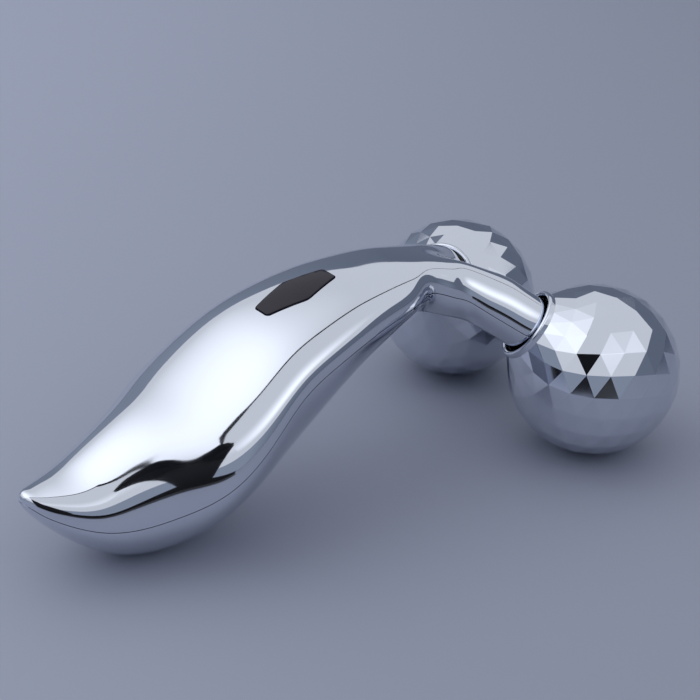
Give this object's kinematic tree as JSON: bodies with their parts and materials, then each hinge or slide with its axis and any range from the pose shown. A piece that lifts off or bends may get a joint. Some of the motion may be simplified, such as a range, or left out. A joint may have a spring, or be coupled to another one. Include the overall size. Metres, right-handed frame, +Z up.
{
  "type": "facial toning device",
  "caption": "Y-shaped mirror-chrome face massage roller: curved handle with a dark solar window and faceted balls that spin freely on forked arms.",
  "frame": {"origin": "centre of the bounding box on the plane the part lies on, under the balls and the handle's belly", "axes": "+X along the handle from its tail to the balls, +Y to the left of the handle, +Z up"},
  "size_m": [0.154, 0.0898, 0.0511],
  "materials": {
    "mirror_chrome": "polished mirror",
    "ball_chrome": "polished mirror, faceted",
    "collar_chrome": "polished ring",
    "smoked_window": "smoked, slightly see-through, polished",
    "black_rubber": "matt",
    "cell_silicon": "dark amorphous silicon on glass",
    "circuit_board": "glass-fibre laminate",
    "red_lead": "wire insulation",
    "black_lead": "wire insulation",
    "brass_tag": "stamped",
    "cast_zinc": "bare die casting",
    "steel_block": "blackened",
    "screw_steel": "zinc plated",
    "ground_steel": "ground",
    "spring_steel": "spring clip",
    "core_plastic": "moulded core",
    "bearing_plastic": "low-friction sleeve",
    "washer_plastic": "thrust washer"
  },
  "bodies": {
    "handle": {"upper_shell": "mirror_chrome", "lower_shell": "mirror_chrome", "seam_seal": "black_rubber", "solar_window": "smoked_window", "window_gasket": "black_rubber", "solar_cell": "cell_silicon", "cell_board": "circuit_board", "plus_lead": "red_lead", "minus_lead": "black_lead", "plus_tag": "brass_tag", "minus_tag": "brass_tag", "axle_yoke": "cast_zinc", "yoke_screws": "screw_steel", "shell_screw": "screw_steel", "tail_weight": "steel_block", "weight_screws": "screw_steel", "left_axle": "ground_steel", "left_axle_clip": "spring_steel", "left_arm_seal": "black_rubber", "right_axle": "ground_steel", "right_axle_clip": "spring_steel", "right_arm_seal": "black_rubber"},
    "left_ball": {"left_ball_skin": "ball_chrome", "left_core_front": "core_plastic", "left_core_rear": "core_plastic", "left_collar": "collar_chrome", "left_bearing": "bearing_plastic", "left_washer": "washer_plastic"},
    "right_ball": {"right_ball_skin": "ball_chrome", "right_core_front": "core_plastic", "right_core_rear": "core_plastic", "right_collar": "collar_chrome", "right_bearing": "bearing_plastic", "right_washer": "washer_plastic"}
  },
  "joints": [
    {"name": "left_ball_spin", "type": "hinge", "parent": "handle", "child": "left_ball", "pos_m": [0.05705, 0.025, 0.01998], "axis": [-0.6698, -0.435, 0.6018], "continuous": true},
    {"name": "right_ball_spin", "type": "hinge", "parent": "handle", "child": "right_ball", "pos_m": [0.05705, -0.025, 0.01998], "axis": [-0.6698, 0.435, 0.6018], "continuous": true}
  ]
}
